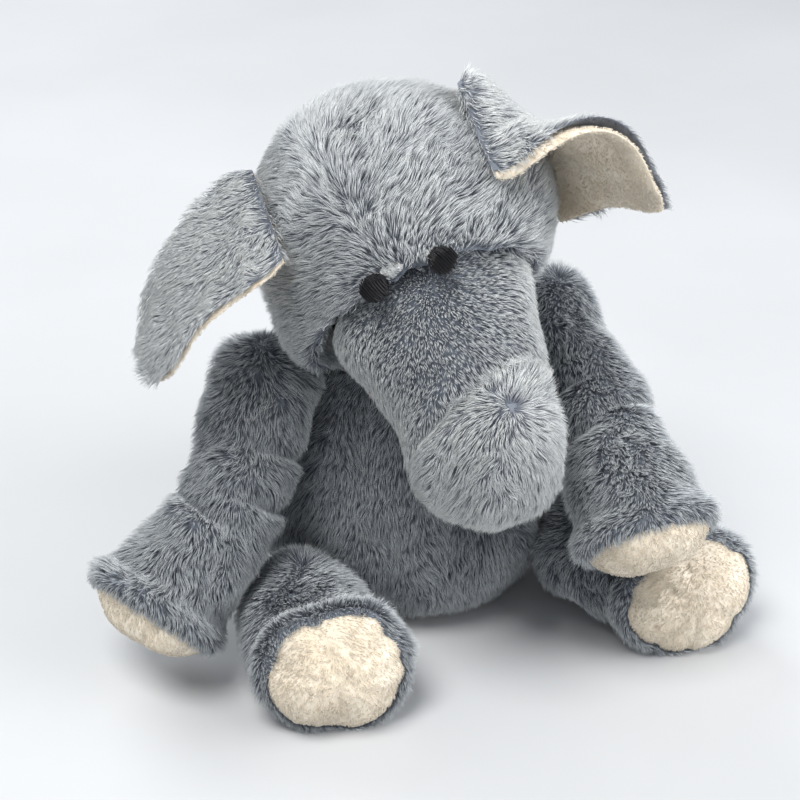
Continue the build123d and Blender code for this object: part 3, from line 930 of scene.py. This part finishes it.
def furry_copy(obj, side):
    """Copy of the outer sheet without the faces turned into the ear's bend, so that no pile grows there."""
    places, ways = [], []
    step = 0.01
    for s in np.linspace(0, 0.98, 40):
        for t in np.linspace(-0.98, 0.98, 26):
            down = ear_point(side, s + step, t, 0) - ear_point(side, s - step, t, 0)
            over = ear_point(side, s, t + step, 0) - ear_point(side, s, t - step, 0)
            way = unit(np.cross(down, over))
            level = ear_point(side, s, t, MM) - ear_point(side, s, t, 0)
            places.append(ear_point(side, s, t, 1.8 * MM))
            ways.append(way * math.copysign(1, way @ level))
    tree = kdtree.KDTree(len(places))
    for number, place in enumerate(places):
        tree.insert(place, number)
    tree.balance()
    copy = obj.copy()
    copy.data = obj.data.copy()
    bm = bmesh.new()
    bm.from_mesh(copy.data)
    away = []
    for f in bm.faces:
        number = tree.find(f.calc_center_median())[1]
        if np.array(f.normal) @ ways[number] < -0.6:
            away.append(f)
    bmesh.ops.delete(bm, geom=away, context="FACES")
    bm.to_mesh(copy.data)
    bm.free()
    copy.data.update()
    return copy


for side, seed in (("left", 51), ("right", 52)):
    root, blade, forward, face = EAR_FRAMES[side]
    name = f"ear_{side}"
    roll = EAR_SHAPE[side]["roll"]
    outer = ear_sheet(side, f"{name}_outer_cloth", 1.9 * MM, 3.2 * MM)
    lining = ear_sheet(side, f"{name}_lining_cloth", 0.2 * MM, 1.8 * MM, reach=roll, thicken=roll * 0.4)
    wear(outer, BLUE_BACKING)
    wear(lining, CREAM_BACKING)
    for piece, node in ((outer, f"{name}_outer"), (lining, f"{name}_lining")):
        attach(piece, name)
        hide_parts(node)
    furry = furry_copy(outer, side)
    ear_lay = toward(blade + forward * 0.25 - face * 0.2)
    # the ears' pile is lightened evenly: painted light, a lit copy of the head's pile
    grow_pile(f"{name}_pile", furry, name, HEAD_PILE, ear_lay, PILE_LENGTH * 0.85, stand=0.36,
              seed=seed, lighten=evenly(0.42))
    grow_pile(f"{name}_nap", lining, name, CREAM_PILE, toward(blade), NAP_LENGTH * 0.7,
              stand=0.5, density=NAP_DENSITY, width=NAP_WIDTH, seed=seed + 10)
    bpy.data.objects.remove(furry)

# ---- tail -----------------------------------------------------------------------------------
tail_skin = stuffed_base("tail_backing", "tail", voxel=1.5 * MM, lift=0)
refine(tail_skin)
wear(tail_skin, BLUE_BACKING)
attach(tail_skin, "tail")
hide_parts("tail")
grow_pile("tail_pile", tail_skin, "tail", BODY_PILE, toward((0, 0.1, -1)), PILE_LENGTH * 0.8,
          stand=0.45, seed=61)

# ---- what stays inside ------------------------------------------------------------------------
for node, obj in frame["nodes"].items():
    if node == "pellet_pouch":
        wear(obj, POUCH_CLOTH)
    elif node == "neck_seam":
        wear(obj, SEAM_THREAD)

# ---- floor, lights, camera --------------------------------------------------------------------
floor_mesh = bpy.data.meshes.new("floor")
floor_mesh.from_pydata([(-6, -6, 0), (6, -6, 0), (6, 6, 0), (-6, 6, 0)], [], [(0, 1, 2, 3)])
floor = new_object("floor", floor_mesh)
FLOOR_PAPER = cloth_material("floor_paper", linear(186, 188, 190), linear(193, 195, 197), 3, 0.02, 0.8, 0.0)
wear(floor, FLOOR_PAPER)


def area_light(name, place, target, size, power, colour):
    data = bpy.data.lights.new(name, "AREA")
    data.shape = "DISK"
    data.size = size
    data.energy = power
    data.color = colour
    lamp = bpy.data.objects.new(name, data)
    bpy.context.scene.collection.objects.link(lamp)
    lamp.location = place
    lamp.rotation_euler = (Vector(target) - Vector(place)).to_track_quat("-Z", "Y").to_euler()


area_light("key", (-0.6, -0.4, 1.6), (0, 0, 0.1), 0.8, 27, (1.0, 0.99, 0.97))
area_light("fill", (1.3, -1.1, 0.8), (0, 0, 0.12), 1.5, 30, (0.99, 0.99, 1.0))
area_light("rim", (-0.3, 1.4, 1.3), (0, 0, 0.15), 1.2, 18, (0.98, 0.99, 1.0))

world = bpy.data.worlds.new("studio")
world.use_nodes = True
world.node_tree.nodes["Background"].inputs["Color"].default_value = (0.92, 0.95, 1.0, 1)
world.node_tree.nodes["Background"].inputs["Strength"].default_value = 0.5
bpy.context.scene.world = world
bpy.context.scene.view_settings.view_transform = "Standard"

CAMERA_AZIMUTH = -24
CAMERA_ELEVATION = 31
CAMERA_DISTANCE = 0.65
CAMERA_TARGET = Vector((-13, -18, 98)) * MM
CAMERA_LENS = 69.7
azimuth, elevation = math.radians(CAMERA_AZIMUTH), math.radians(CAMERA_ELEVATION)
back = Vector((
    math.sin(azimuth) * math.cos(elevation),
    -math.cos(azimuth) * math.cos(elevation),
    math.sin(elevation),
))
camera_data = bpy.data.cameras.new("camera")
camera_data.lens = CAMERA_LENS
camera_data.sensor_width = 36
camera_data.clip_start = 0.01
camera = bpy.data.objects.new("camera", camera_data)
bpy.context.scene.collection.objects.link(camera)
camera.location = CAMERA_TARGET + back * CAMERA_DISTANCE
camera.rotation_euler = (-back).to_track_quat("-Z", "Y").to_euler()
bpy.context.scene.camera = camera

bpy.context.view_layer.update()
